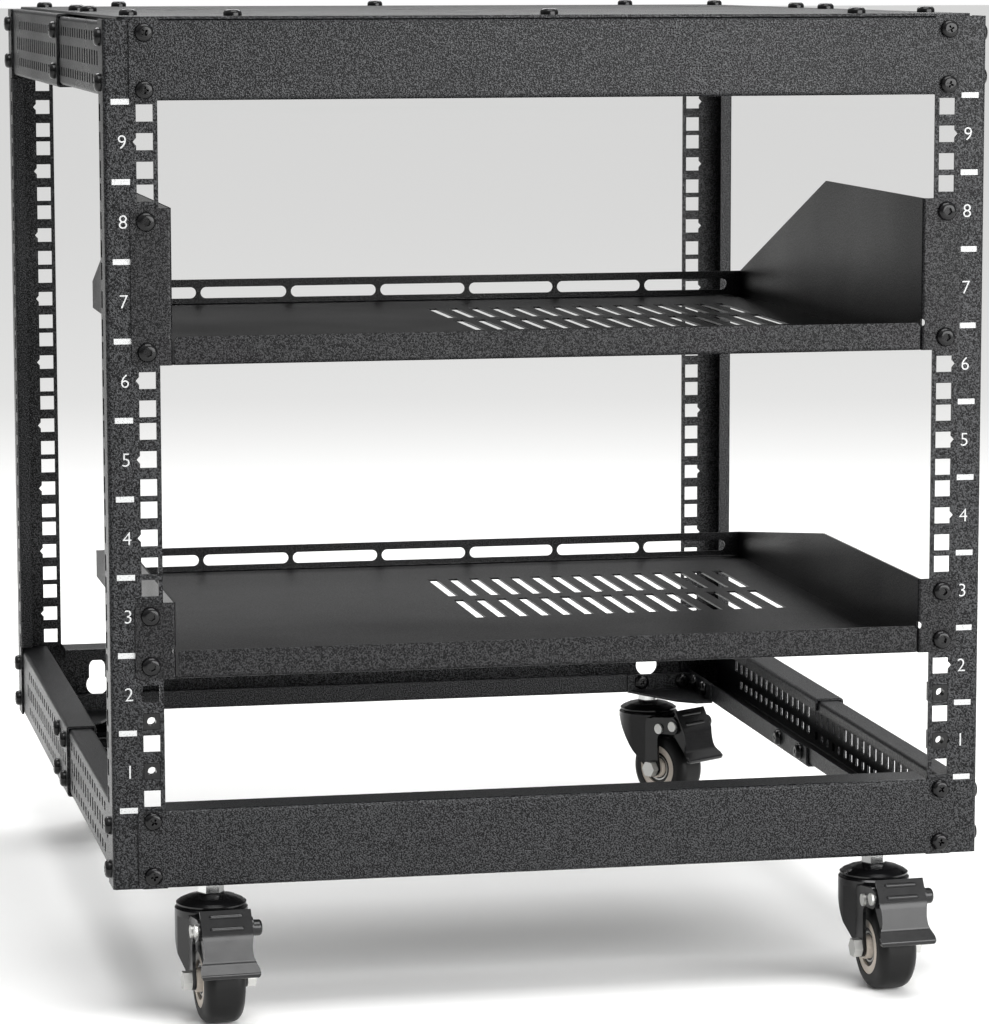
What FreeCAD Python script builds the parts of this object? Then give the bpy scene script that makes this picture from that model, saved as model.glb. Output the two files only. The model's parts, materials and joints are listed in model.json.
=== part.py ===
import FreeCAD, Part
import math
import os

# Four post open frame rack, nine units high, on four braked swivel casters.
# Millimetres. X runs across the rack, Y from the front to the back, Z up.
# While it is built, Y = 0 is the front face of the front posts and Z = 0 is the floor.

# --- rack pattern -------------------------------------------------------------------
rack_unit = 44.45
unit_count = 9
square_hole = 9.5
hole_line_spacing = 465.1
unit_hole_heights = (6.35, 22.225, 38.1)
notch_depth = 1.9
notch_height = 4.4

# --- sheet metal ----------------------------------------------------------------------
frame_sheet = 1.5
shelf_sheet = 1.2
bend_radius = 2.2
shelf_bend_radius = 1.9
slip = 0.2

# --- posts ------------------------------------------------------------------------------
frame_depth = 600.0
hole_line_to_side = 22.95
hole_line_to_edge = 7.25
post_side = 25.0
post_lip = 8.0
post_lip_clearance = 2.0
side_slot_width = 6.4
side_slot_height = 9.6
side_slot_setback = 18.0

# --- cross beams ------------------------------------------------------------------------
beam_height = 45.0
beam_to_unit_gap = 0.45
channel_depth = 25.0
upper_lip = 8.0
lower_lip = 13.0
ear_past_hole_line = 8.45
ear_corner = 3.0
beam_to_post_gap = 0.8
keyhole_inset = 24.5
keyhole_radius = 7.75
keyhole_slot_radius = 5.65
keyhole_from_bottom = 15.5
keyhole_rise = 12.6

# --- side rails -------------------------------------------------------------------------
rail_top_flange = 19.0
rail_bottom_flange = 25.0
rail_end_gap = 0.8
rail_overlap = 70.0
rail_seam = 275.0
rail_slot_pitch = 13.5
rail_slot_width = 5.8
rail_slot_height = 8.4
rail_hole_height = 5.4
rail_row_spacing = 12.3
rail_first_slot = 57.0
rail_slot_margin = 8.0

# --- top cover --------------------------------------------------------------------------
cover_side_inset = 8.5
cover_corner = 8.0

# --- shelves ----------------------------------------------------------------------------
shelf_to_post_gap = 5.8
shelf_depth = 410.0
shelf_ear_past_hole_line = 8.75
shelf_ear_corner = 4.0
shelf_lip = 16.0
shelf_back = 17.4
shelf_wall_flat = 203.0
lip_slit = 1.0
relief_radius = 2.2
ear_margin = 7.5
vent_pitch = 13.7
vent_width = 6.0
vent_length = 74.0
vent_first_x = -7.0
vent_side_margin = 30.0
vent_front_row = 177.0
vent_row_gap = 16.0
back_slot_pitch = 60.0
back_slot_length = 57.0
back_slot_height = 7.4
back_slot_margin = 8.0

# --- corner braces ----------------------------------------------------------------------
brace_width = 49.0
brace_length = 55.0
brace_flange = 13.0
brace_cut_across = 25.0
brace_cut_along = 45.0
brace_tip_across = 37.5

# --- cage nuts --------------------------------------------------------------------------
cage_width = 13.0
cage_height = 11.0
cage_thickness = 5.0
cage_boss = 9.0
nut_thread_radius = 2.5

# --- caster stem and bearing ------------------------------------------------------------
caster_height = 70.6
stem_inset = 27.6
stem_setback = 15.7
stem_radius = 4.0
stem_hole_clearance = 0.3
stem_above_flange = 9.0
stem_nut_flats = 13.0
stem_nut_height = 7.5
top_nut_height = 6.5
cup_radius = 20.2
cup_height = 6.0
cup_thickness = 1.6
race_gap = 0.5
race_radius = 21.0
race_height = 5.4
race_rim = 4.0
head_plate = 2.0
king_pin_clearance = 0.05
king_pin_head_radius = 7.0
king_pin_head = 1.6
head_gap = 0.3

# --- caster wheel -----------------------------------------------------------------------
wheel_radius = 25.0
tyre_width = 23.5
tyre_shoulder = 6.0
rim_radius = 16.2
hub_recess_inner = 7.0
hub_recess_outer = 11.5
hub_recess_depth = 5.0
hub_width = 22.6
boss_width = 27.4
caster_trail = 20.0
axle_radius = 3.0
running_clearance = 0.05
axle_flats = 10.0
axle_head = 5.0

# --- caster fork ------------------------------------------------------------------------
fork_sheet = 2.0
fork_half_width = 16.0
fork_boss_radius = 5.8
fork_leg_front = 4.4
fork_leg_flat = 7.5
fork_arch_height = 26.5
ear_radius = 6.2
ear_setback = 1.5
pin_radius = 2.5
rivet_head_radius = 3.6
rivet_head = 1.4
inner_pin_x = 26.4
inner_pin_z = 54.8
pivot_x = 39.7
pivot_z = 58.0
knob_radius = 4.6
knob_height = 5.0
knob_round = 1.8

# --- brake pedal ------------------------------------------------------------------------
pedal_sheet = 1.5
pedal_top_width = 29.4
pedal_waist_width = 27.8
pedal_foot_width = 33.8
pedal_corner = 3.5
pedal_above_pivot = 14.0
pedal_crease_drop = 2.5
pedal_foot_drop = 25.8
# the pedal's outer face and its cheek from the side, measured from the pivot
pedal_face = [(1.3, 11.3), (9.3, -2.5), (12.3, -17.0), (18.9, -22.4), (17.4, -25.4), (14.4, -24.6)]
pedal_bends = [12.0, 5.0, 2.0, 2.0]
pedal_cheek = [
    (0.9, 10.2), (8.5, -2.7), (11.5, -16.7), (15.5, -20.6), (12.0, -21.6), (5.1, -14.0), (0.4, -8.6),
]
cheek_gap = 0.35
cheek_sheet = 1.5
pedal_eye_radius = 4.8
rib_length = 20.0
rib_radius = 1.5
rib_stand = 0.9
rib_steps = (3.7, 11.1)
caster_headings = {
    "front_left": 3.5,
    "front_right": 4.5,
    "rear_left": 0.0,
    "rear_right": 32.6,
}

# --- places worked out from the sizes above ---------------------------------------------
beam_bottom = caster_height + stem_nut_height
unit_zero = beam_bottom + beam_height + beam_to_unit_gap
unit_top = unit_zero + unit_count * rack_unit
top_beam_bottom = unit_top + beam_to_unit_gap
frame_top = top_beam_bottom + beam_height
hole_x = hole_line_spacing / 2
half_width = hole_x + hole_line_to_side
post_inner = hole_x - hole_line_to_edge
rail_outer_x = half_width - frame_sheet
rail_end = frame_sheet + rail_end_gap
nest = frame_sheet + slip
beam_half_span = post_inner - beam_to_post_gap
ear_reach = hole_x + ear_past_hole_line
keyhole_offset = beam_half_span - keyhole_inset
shelf_inner = post_inner - shelf_to_post_gap - shelf_sheet
shelf_ear_reach = hole_x + shelf_ear_past_hole_line
stem_offset = post_inner - stem_inset
race_top = caster_height - cup_height
head_bottom = race_top - race_height


def point(x, y, z):
    return FreeCAD.Vector(x, y, z)


def block(x0, x1, y0, y1, z0, z1):
    """A rectangular block between two corners, given in any order."""
    low = point(min(x0, x1), min(y0, y1), min(z0, z1))
    return Part.makeBox(abs(x1 - x0), abs(y1 - y0), abs(z1 - z0), low)


def across_x(shape):
    return shape.mirror(point(0, 0, 0), point(1, 0, 0))


def across_depth(shape):
    return shape.mirror(point(0, frame_depth / 2, 0), point(0, 1, 0))


def tube_of(edges, direction):
    return Part.Face(Part.Wire(edges)).extrude(direction)


def polygon_prism(points, direction):
    return Part.Face(Part.makePolygon(points + points[:1])).extrude(direction)


def arc_through(start, middle, end):
    return Part.Arc(start, middle, end).toShape()


def line_between(start, end):
    return Part.LineSegment(start, end).toShape()


def unit(ax, ay, bx, by):
    length = math.hypot(bx - ax, by - ay)
    return (bx - ax) / length, (by - ay) / length


def bent_side(path, radii, place):
    """One side of a folded strip: straight runs joined by tangent arcs."""
    edges = []
    start = path[0]
    for index in range(1, len(path) - 1):
        corner = path[index]
        radius = radii[index]
        into = unit(*path[index - 1], *corner)
        out = unit(*corner, *path[index + 1])
        turn = into[0] * out[1] - into[1] * out[0]
        half = abs(math.atan2(turn, into[0] * out[0] + into[1] * out[1])) / 2
        reach = radius * math.tan(half)
        first = (corner[0] - into[0] * reach, corner[1] - into[1] * reach)
        last = (corner[0] + out[0] * reach, corner[1] + out[1] * reach)
        inward = unit(0, 0, out[0] - into[0], out[1] - into[1])
        drop = radius / math.cos(half) - radius
        middle = (corner[0] + inward[0] * drop, corner[1] + inward[1] * drop)
        edges.append(line_between(place(*start), place(*first)))
        edges.append(arc_through(place(*first), place(*middle), place(*last)))
        start = last
    edges.append(line_between(place(*start), place(*path[-1])))
    return edges


def offset_path(path, thickness, side):
    """The other face of the strip: every run moved sideways by the sheet thickness."""
    moved = []
    for index, corner in enumerate(path):
        before = unit(*path[index - 1], *corner) if index else unit(*corner, *path[1])
        after = unit(*corner, *path[index + 1]) if index < len(path) - 1 else before
        normal_before = (-before[1] * side, before[0] * side)
        normal_after = (-after[1] * side, after[0] * side)
        share = 1 + normal_before[0] * normal_after[0] + normal_before[1] * normal_after[1]
        moved.append((
            corner[0] + thickness * (normal_before[0] + normal_after[0]) / share,
            corner[1] + thickness * (normal_before[1] + normal_after[1]) / share,
        ))
    return moved


def folded_sheet(path, thickness, radius, side, place, direction):
    """Extrudes a folded strip. side is 1 where the metal lies left of the path, else -1.

    radius is the outer radius of every bend, or a list with one for each inner corner.
    """
    bends = list(radius) if isinstance(radius, (list, tuple)) else [radius] * (len(path) - 2)
    near_radii = [0.0] * len(path)
    far_radii = [0.0] * len(path)
    for index in range(1, len(path) - 1):
        outer = bends[index - 1]
        into = unit(*path[index - 1], *path[index])
        out = unit(*path[index], *path[index + 1])
        turns_to_metal = (into[0] * out[1] - into[1] * out[0]) * side > 0
        near_radii[index] = outer if turns_to_metal else outer - thickness
        far_radii[index] = outer - thickness if turns_to_metal else outer
    far_path = offset_path(path, thickness, side)
    near = bent_side(path, near_radii, place)
    far = bent_side(far_path, far_radii, place)
    caps = [
        line_between(place(*path[0]), place(*far_path[0])),
        line_between(place(*path[-1]), place(*far_path[-1])),
    ]
    return tube_of(Part.__sortEdges__(near + far + caps), direction)


def revolve_z(outline):
    """Turns an outline of (radius, height) points about the Z axis."""
    points = [point(radius, 0, height) for radius, height in outline]
    face = Part.Face(Part.makePolygon(points + points[:1]))
    return face.revolve(point(0, 0, 0), point(0, 0, 1), 360)


def hex_prism(flats, height, centre, axis):
    corner = flats / math.sqrt(3)
    ring = [
        point(corner * math.cos(math.radians(60 * k)), corner * math.sin(math.radians(60 * k)), 0)
        for k in range(6)
    ]
    solid = polygon_prism(ring, point(0, 0, height))
    solid.Placement = FreeCAD.Placement(centre, FreeCAD.Rotation(point(0, 0, 1), axis))
    return solid


# --- posts ------------------------------------------------------------------------------

def unit_holes():
    """Heights of every square hole, with the rack unit's middle hole marked."""
    for number in range(unit_count):
        for place, height in enumerate(unit_hole_heights):
            yield unit_zero + number * rack_unit + height, place == 1


def square_hole_cutter(height, notched):
    half = square_hole / 2
    right = hole_x + half
    outline = [(hole_x - half, height - half), (right, height - half)]
    if notched:
        outline += [
            (right, height - notch_height / 2),
            (right + notch_depth, height),
            (right, height + notch_height / 2),
        ]
    outline += [(right, height + half), (hole_x - half, height + half)]
    points = [point(x, -frame_sheet, z) for x, z in outline]
    return polygon_prism(points, point(0, 3 * frame_sheet, 0))


def side_slot_cutter(height):
    return block(
        half_width - 2 * frame_sheet, half_width + frame_sheet,
        side_slot_setback - side_slot_width / 2, side_slot_setback + side_slot_width / 2,
        height - side_slot_height / 2, height + side_slot_height / 2,
    )


def front_right_post():
    """A folded C post: drilled face, slotted side and a lip turned in between the rails."""
    path = [
        (post_inner, 0), (half_width, 0),
        (half_width, post_side), (half_width - post_lip, post_side),
    ]
    post = folded_sheet(
        path, frame_sheet, bend_radius, 1,
        lambda x, y: point(x, y, beam_bottom), point(0, 0, frame_top - beam_bottom),
    )
    lip_zones = [
        (beam_bottom, unit_zero + post_lip_clearance),
        (unit_top - post_lip_clearance, frame_top),
    ]
    cutters = [
        block(
            half_width - post_lip - slip, half_width - frame_sheet,
            post_side - bend_radius, post_side + slip, low, high,
        )
        for low, high in lip_zones
    ]
    cutters += [
        block(
            half_width - frame_sheet - slip, half_width + slip,
            post_side - bend_radius, post_side + slip, low, high,
        )
        for low, high in lip_zones
    ]
    for height, notched in unit_holes():
        cutters.append(square_hole_cutter(height, notched))
        cutters.append(side_slot_cutter(height))
    return post.cut(cutters)


# --- cross beams ------------------------------------------------------------------------

def beam(bottom):
    """A lipped channel with a flat screw ear at each end, lying on the posts' face."""
    top = bottom + beam_height
    path = [
        (channel_depth, top - upper_lip), (channel_depth, top), (-frame_sheet, top),
        (-frame_sheet, bottom), (channel_depth, bottom), (channel_depth, bottom + lower_lip),
    ]
    channel = folded_sheet(
        path, frame_sheet, bend_radius, 1,
        lambda y, z: point(-beam_half_span, y, z), point(2 * beam_half_span, 0, 0),
    )
    ears = []
    for sign in (1, -1):
        ear = block(
            sign * (beam_half_span - bend_radius), sign * ear_reach,
            -frame_sheet, 0, bottom, top,
        )
        outer = [
            edge for edge in ear.Edges
            if abs(edge.CenterOfMass.x - sign * ear_reach) < slip
            and edge.CenterOfMass.y > -frame_sheet + slip and edge.CenterOfMass.y < -slip
        ]
        ears.append(ear.makeFillet(ear_corner, outer))
    trimmed = [
        ear.cut(block(
            -beam_half_span, beam_half_span, -2 * frame_sheet, frame_sheet,
            bottom - slip, bottom + bend_radius,
        )).cut(block(
            -beam_half_span, beam_half_span, -2 * frame_sheet, frame_sheet,
            top - bend_radius, top + slip,
        ))
        for ear in ears
    ]
    return channel.fuse(trimmed).removeSplitter()


def keyhole_cutter(x, bottom):
    low = bottom + keyhole_from_bottom
    start = point(x, -2 * frame_sheet, low)
    through = 3 * frame_sheet
    along = point(0, 1, 0)
    wide = Part.makeCylinder(keyhole_radius, through, start, along)
    narrow = Part.makeCylinder(keyhole_slot_radius, through, start + point(0, 0, keyhole_rise), along)
    neck = block(
        x - keyhole_slot_radius, x + keyhole_slot_radius,
        start.y, start.y + through, low, low + keyhole_rise,
    )
    return wide.fuse([narrow, neck])


def front_beam(bottom, stem_holes):
    return drill_for_stems(beam(bottom), bottom) if stem_holes else beam(bottom)


def drill_for_stems(channel, bottom):
    drills = [
        Part.makeCylinder(
            stem_radius + stem_hole_clearance, 3 * frame_sheet,
            point(x, stem_setback, bottom - frame_sheet),
        )
        for x in (-stem_offset, stem_offset)
    ]
    return channel.cut(drills)


def rear_beam(bottom, stem_holes):
    holes = [keyhole_cutter(x, bottom) for x in (-keyhole_offset, keyhole_offset)]
    return across_depth(front_beam(bottom, stem_holes).cut(holes))


# --- side rails -------------------------------------------------------------------------

def rail_slot_cutters(outer, middle, reach):
    """Three rows of slots from the post inwards; the screws' column has the middle one only."""
    cutters = []
    y = rail_first_slot
    while y + rail_slot_width / 2 <= reach - rail_slot_margin:
        rows = [(middle, rail_slot_height)]
        if y > rail_first_slot:
            rows.append((middle - rail_row_spacing, rail_hole_height))
            rows.append((middle + rail_row_spacing, rail_hole_height))
        for z, height in rows:
            cutters.append(block(
                outer - 2 * frame_sheet, outer + frame_sheet,
                y - rail_slot_width / 2, y + rail_slot_width / 2,
                z - height / 2, z + height / 2,
            ))
        y += rail_slot_pitch
    return cutters


def right_rail(bottom, inset, reach):
    """One half of a telescoping side rail: a slotted lipped channel, open to the rack."""
    top = bottom + beam_height - inset
    low = bottom + inset
    outer = rail_outer_x - inset
    upper_inner = rail_outer_x - rail_top_flange + inset
    lower_inner = rail_outer_x - rail_bottom_flange + inset
    path = [
        (upper_inner, bottom + beam_height - upper_lip), (upper_inner, top), (outer, top),
        (outer, low), (lower_inner, low), (lower_inner, bottom + lower_lip),
    ]
    rail = folded_sheet(
        path, frame_sheet, bend_radius, -1,
        lambda x, z: point(x, rail_end, z), point(0, reach - rail_end, 0),
    )
    return rail.cut(rail_slot_cutters(outer, bottom + beam_height / 2, reach))


def front_rail(bottom):
    return right_rail(bottom, nest, rail_seam + rail_overlap)


def rear_rail(bottom):
    return across_depth(right_rail(bottom, 0.0, frame_depth - rail_seam))


# --- cover, shelves, braces and cage nuts -----------------------------------------------

def top_cover():
    half = half_width - cover_side_inset
    plate = block(
        -half, half, -frame_sheet, frame_depth + frame_sheet, frame_top, frame_top + frame_sheet,
    )
    corners = [edge for edge in plate.Edges if abs(edge.tangentAt(0).z) > 0.9]
    return plate.makeFillet(cover_corner, corners)


def shelf_wall(base, height):
    """The right side wall and its rack ear, folded from one strip."""
    inner = shelf_inner
    path = [(shelf_ear_reach, -shelf_sheet), (inner, -shelf_sheet), (inner, shelf_depth)]
    wall = folded_sheet(
        path, shelf_sheet, shelf_bend_radius, -1,
        lambda x, y: point(x, y, base), point(0, 0, height),
    )
    outline = [
        (-2 * shelf_sheet, base), (-2 * shelf_sheet, base + height),
        (shelf_wall_flat, base + height), (shelf_depth, base + shelf_back), (shelf_depth, base),
    ]
    side = polygon_prism([point(0, y, z) for y, z in outline], point(2 * half_width, 0, 0))
    wall = wall.common(side)
    outer = [
        edge for edge in wall.Edges
        if abs(edge.CenterOfMass.x - shelf_ear_reach) < slip and abs(edge.tangentAt(0).y) > 0.9
    ]
    return wall.makeFillet(shelf_ear_corner, outer)


def back_slot_cutter(x, middle):
    radius = back_slot_height / 2
    half = back_slot_length / 2 - radius
    start = shelf_depth - 2 * shelf_sheet
    through = 3 * shelf_sheet
    ends = [
        Part.makeCylinder(radius, through, point(x + side * half, start, middle), point(0, 1, 0))
        for side in (-1, 1)
    ]
    bar = block(x - half, x + half, start, start + through, middle - radius, middle + radius)
    return bar.fuse(ends)


def relief_cutters(base):
    """A thin slit down each end of the front lip, and the round relief hole above it."""
    cutters = []
    for sign in (1, -1):
        cutters.append(Part.makeCylinder(
            relief_radius, 4 * shelf_sheet,
            point(sign * shelf_inner, -2 * shelf_sheet, base + shelf_lip), point(0, 1, 0),
        ))
    return cutters


def vent_cutters(base):
    """Two rows of long slots, from near the middle to the right side."""
    cutters = []
    for row in (0, 1):
        front = vent_front_row + row * (vent_length + vent_row_gap)
        x = vent_first_x
        while x <= shelf_inner - vent_side_margin:
            cutters.append(block(
                x - vent_width / 2, x + vent_width / 2, front, front + vent_length,
                base - shelf_sheet, base + 2 * shelf_sheet,
            ))
            x += vent_pitch
    return cutters


def back_slot_cutters(base):
    """A row of round-ended slots along the back, as many as fit."""
    span = 2 * (shelf_inner - back_slot_margin) + back_slot_pitch - back_slot_length
    count = int(span / back_slot_pitch)
    return [
        back_slot_cutter((number - (count - 1) / 2) * back_slot_pitch, base + shelf_back / 2)
        for number in range(count)
    ]


def shelf(base, height):
    """A folded tray: front lip, vented floor, slotted back and two walls with rack ears."""
    path = [
        (-shelf_sheet, base + shelf_lip), (-shelf_sheet, base),
        (shelf_depth, base), (shelf_depth, base + shelf_back),
    ]
    tray = folded_sheet(
        path, shelf_sheet, shelf_bend_radius, 1,
        lambda y, z: point(-shelf_inner, y, z), point(2 * shelf_inner, 0, 0),
    )
    slits = [
        block(
            sign * (shelf_inner - lip_slit), sign * (shelf_inner + slip),
            -2 * shelf_sheet, shelf_bend_radius, base - slip, base + shelf_lip + slip,
        )
        for sign in (1, -1)
    ]
    wall = shelf_wall(base, height)
    whole = tray.cut(slits).fuse([wall, across_x(wall)])
    return whole.cut(relief_cutters(base) + vent_cutters(base) + back_slot_cutters(base))


def brace(inset):
    """Front right corner brace: a plate with a flange on the beam and one on the rail."""
    side_x = rail_outer_x - rail_bottom_flange + inset
    inner_x = side_x - brace_width
    front_y = channel_depth
    rear_y = front_y + brace_length
    outline = [
        (side_x, front_y), (inner_x, front_y),
        (inner_x + brace_cut_across, front_y + brace_cut_along),
        (inner_x + brace_tip_across, rear_y), (side_x, rear_y),
    ]
    plate = polygon_prism([point(x, y, beam_bottom) for x, y in outline], point(0, 0, frame_sheet))
    beam_flange = block(
        inner_x, side_x, front_y, front_y + frame_sheet, beam_bottom, beam_bottom + brace_flange,
    )
    rail_flange = block(
        side_x - frame_sheet, side_x, front_y, rear_y, beam_bottom, beam_bottom + brace_flange,
    )
    return plate.fuse([beam_flange, rail_flange]).removeSplitter()


def cage_nut(height):
    """A square nut in its spring cage, pressed into one square hole of the right post."""
    body = block(
        hole_x - cage_width / 2, hole_x + cage_width / 2,
        frame_sheet, frame_sheet + cage_thickness,
        height - cage_height / 2, height + cage_height / 2,
    )
    boss = block(
        hole_x - cage_boss / 2, hole_x + cage_boss / 2, 0, frame_sheet,
        height - cage_boss / 2, height + cage_boss / 2,
    )
    thread = Part.makeCylinder(
        nut_thread_radius, cage_thickness + 3 * frame_sheet,
        point(hole_x, -frame_sheet, height), point(0, 1, 0),
    )
    return body.fuse(boss).cut(thread)


# --- casters, built with the stem on the Z axis and the pedal towards +X ------------------

def caster_mount():
    """Threaded stem, its two nuts, the upper bearing cup and the king pin below it."""
    seat = caster_height
    rim = race_top + race_gap
    cup = revolve_z([
        (0, seat + 0.2), (8.0, seat), (14.0, seat - 1.4), (18.2, seat - 3.2),
        (cup_radius, rim + 0.9), (cup_radius, rim), (cup_radius - 1.2, rim),
        (17.2, seat - 3.4 - cup_thickness / 2), (13.4, seat - 1.4 - cup_thickness),
        (7.6, seat - cup_thickness), (0, seat - cup_thickness),
    ])
    flange = beam_bottom + frame_sheet
    upward = point(0, 0, 1)
    stem = Part.makeCylinder(stem_radius, flange + stem_above_flange - seat, point(0, 0, seat))
    lower_nut = hex_prism(stem_nut_flats, stem_nut_height, point(0, 0, seat), upward)
    upper_nut = hex_prism(stem_nut_flats, top_nut_height, point(0, 0, flange), upward)
    pin_bottom = head_bottom - head_gap - king_pin_head
    pin = Part.makeCylinder(stem_radius, seat - pin_bottom, point(0, 0, pin_bottom))
    pin_head = Part.makeCylinder(king_pin_head_radius, king_pin_head, point(0, 0, pin_bottom))
    return cup.fuse([stem, lower_nut, upper_nut, pin, pin_head]).removeSplitter()


def fork_plan(inset):
    """Plan of the fork: a round back that narrows to two straight legs and front ears."""
    back = race_radius - inset
    half = fork_half_width - inset
    straight = caster_trail - fork_leg_flat
    front = pivot_x + race_radius
    flare = 4.0
    bulge = math.sqrt(back ** 2 - flare ** 2)
    return tube_of([
        arc_through(point(flare, bulge, 0), point(-back, 0, 0), point(flare, -bulge, 0)),
        line_between(point(flare, -bulge, 0), point(straight, -half, 0)),
        line_between(point(straight, -half, 0), point(front, -half, 0)),
        line_between(point(front, -half, 0), point(front, half, 0)),
        line_between(point(front, half, 0), point(straight, half, 0)),
        line_between(point(straight, half, 0), point(flare, bulge, 0)),
    ], point(0, 0, caster_height))


def on_circle(centre, radius, degrees):
    angle = math.radians(degrees)
    return centre[0] + radius * math.cos(angle), centre[1] + radius * math.sin(angle)


def side_shape(start, segments, half_width):
    """A side view drawn in X and Z and extruded across. An arc segment has three points."""
    def place(pair):
        return point(pair[0], -half_width, pair[1])
    edges = []
    here = start
    for segment in segments + [(start,)]:
        end = segment[-1]
        if len(segment) == 1:
            edges.append(line_between(place(here), place(end)))
        else:
            edges.append(arc_through(place(here), place(segment[0]), place(end)))
        here = end
    return tube_of(edges, point(0, 2 * half_width, 0))


def fork_side():
    """The fork from the side: raked back, leg down to the axle, arch and ear at the front."""
    top = head_bottom + head_plate
    axle = (caster_trail, wheel_radius)
    ear = (pivot_x - ear_setback, pivot_z)
    leg_front = caster_trail + fork_leg_front
    arch = wheel_radius + fork_arch_height
    boss_back = on_circle(axle, fork_boss_radius, 218)
    boss_low = on_circle(axle, fork_boss_radius, 285)
    boss_front = on_circle(axle, fork_boss_radius, 352)
    return side_shape((-race_radius, top), [
        ((-race_radius, head_bottom),),
        ((head_plate_edge(), head_bottom),),
        (boss_back,),
        (boss_low, boss_front),
        ((leg_front, axle[1] + 2 * fork_boss_radius),),
        ((leg_front, arch - 5.0),),
        ((leg_front + 1.4, arch - 1.5), (leg_front + 5.0, arch)),
        (on_circle(ear, ear_radius, 262),),
        (on_circle(ear, ear_radius, 0), on_circle(ear, ear_radius, 92)),
        ((race_radius - 1.0, top + 1.0),),
        ((race_radius - 3.0, top),),
    ], 2 * race_radius)


def head_plate_edge():
    """Where the raked back of the fork meets the underside of its head."""
    return -0.6 * race_radius


def caster_fork():
    """Round-backed fork with the lower bearing race formed in its top, and the pin's knob."""
    bore = stem_radius + king_pin_clearance
    inner = race_radius - race_rim
    head = revolve_z([
        (bore, head_bottom), (race_radius, head_bottom), (race_radius, race_top - 1.6),
        (race_radius - 1.6, race_top), (inner - 2.0, race_top),
        (inner - 3.5, head_bottom + head_plate), (bore, head_bottom + head_plate),
    ])
    skirt = fork_plan(0).cut(fork_plan(fork_sheet)).common(fork_side())
    across = point(0, 1, 0)
    drills = [
        Part.makeCylinder(radius, 4 * race_radius, point(x, -2 * race_radius, z), across)
        for radius, x, z in (
            (axle_radius, caster_trail, wheel_radius),
            (pin_radius, inner_pin_x, inner_pin_z),
            (pin_radius, pivot_x, pivot_z),
        )
    ]
    knob = Part.makeCylinder(
        knob_radius, knob_height, point(pivot_x, fork_half_width, pivot_z), across,
    )
    end = fork_half_width + knob_height
    knob = knob.makeFillet(knob_round, [e for e in knob.Edges if abs(e.CenterOfMass.y - end) < 0.1])
    return head.fuse([skirt.cut(drills), knob]).removeSplitter()


def pin_across(x, z, knob_end):
    """A riveted pin through both ears. Its far end is a rivet too, or ends in the knob."""
    across = point(0, 1, 0)
    centre = point(x, 0, z)
    shank = Part.makeCylinder(
        pin_radius, 2 * fork_half_width, centre - across * fork_half_width, across,
    )
    heads = [
        Part.makeCylinder(
            rivet_head_radius, rivet_head, centre + across * (sign * fork_half_width), across * sign,
        )
        for sign in ((-1,) if knob_end else (-1, 1))
    ]
    return shank.fuse(heads).removeSplitter()


def caster_pins():
    """The wheel's hexagon axle bolt, the inner pin and the pedal's pivot; none of them touch."""
    centre = point(caster_trail, 0, wheel_radius)
    across = point(0, 1, 0)
    shank = Part.makeCylinder(
        axle_radius, 2 * fork_half_width, centre - across * fork_half_width, across,
    )
    heads = [
        hex_prism(axle_flats, axle_head, centre + across * (sign * fork_half_width), across * sign)
        for sign in (-1, 1)
    ]
    return Part.makeCompound([
        shank.fuse(heads).removeSplitter(),
        pin_across(inner_pin_x, inner_pin_z, False),
        pin_across(pivot_x, pivot_z, True),
    ])


def on_axle(solid):
    """Stands a shape turned about Z on the wheel's axle, which runs along Y."""
    solid.Placement = FreeCAD.Placement(
        point(caster_trail, 0, wheel_radius), FreeCAD.Rotation(point(1, 0, 0), -90),
    )
    return solid


def caster_wheel():
    bore = axle_radius + running_clearance
    half = hub_width / 2
    boss = boss_width / 2
    floor = half - hub_recess_depth
    return on_axle(revolve_z([
        (bore, -boss), (hub_recess_inner, -boss), (hub_recess_inner, -floor),
        (hub_recess_outer, -floor), (hub_recess_outer, -half), (rim_radius, -half),
        (rim_radius, half), (hub_recess_outer, half), (hub_recess_outer, floor),
        (hub_recess_inner, floor), (hub_recess_inner, boss), (bore, boss),
    ]))


def caster_tyre():
    half = tyre_width / 2
    flat = half - tyre_shoulder
    bevel = tyre_shoulder * (1 - math.sqrt(0.5))
    outer = wheel_radius
    side = outer - tyre_shoulder
    face = Part.Face(Part.Wire([
        line_between(point(rim_radius, 0, -half), point(side, 0, -half)),
        arc_through(
            point(side, 0, -half), point(outer - bevel, 0, -half + bevel), point(outer, 0, -flat),
        ),
        line_between(point(outer, 0, -flat), point(outer, 0, flat)),
        arc_through(
            point(outer, 0, flat), point(outer - bevel, 0, half - bevel), point(side, 0, half),
        ),
        line_between(point(side, 0, half), point(rim_radius, 0, half)),
        line_between(point(rim_radius, 0, half), point(rim_radius, 0, -half)),
    ]))
    return on_axle(face.revolve(point(0, 0, 0), point(0, 0, 1), 360))


def from_pivot(outline):
    """Moves an outline drawn about the pedal's pivot to the place of the pivot."""
    return [(pivot_x + x, pivot_z + z) for x, z in outline]


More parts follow.
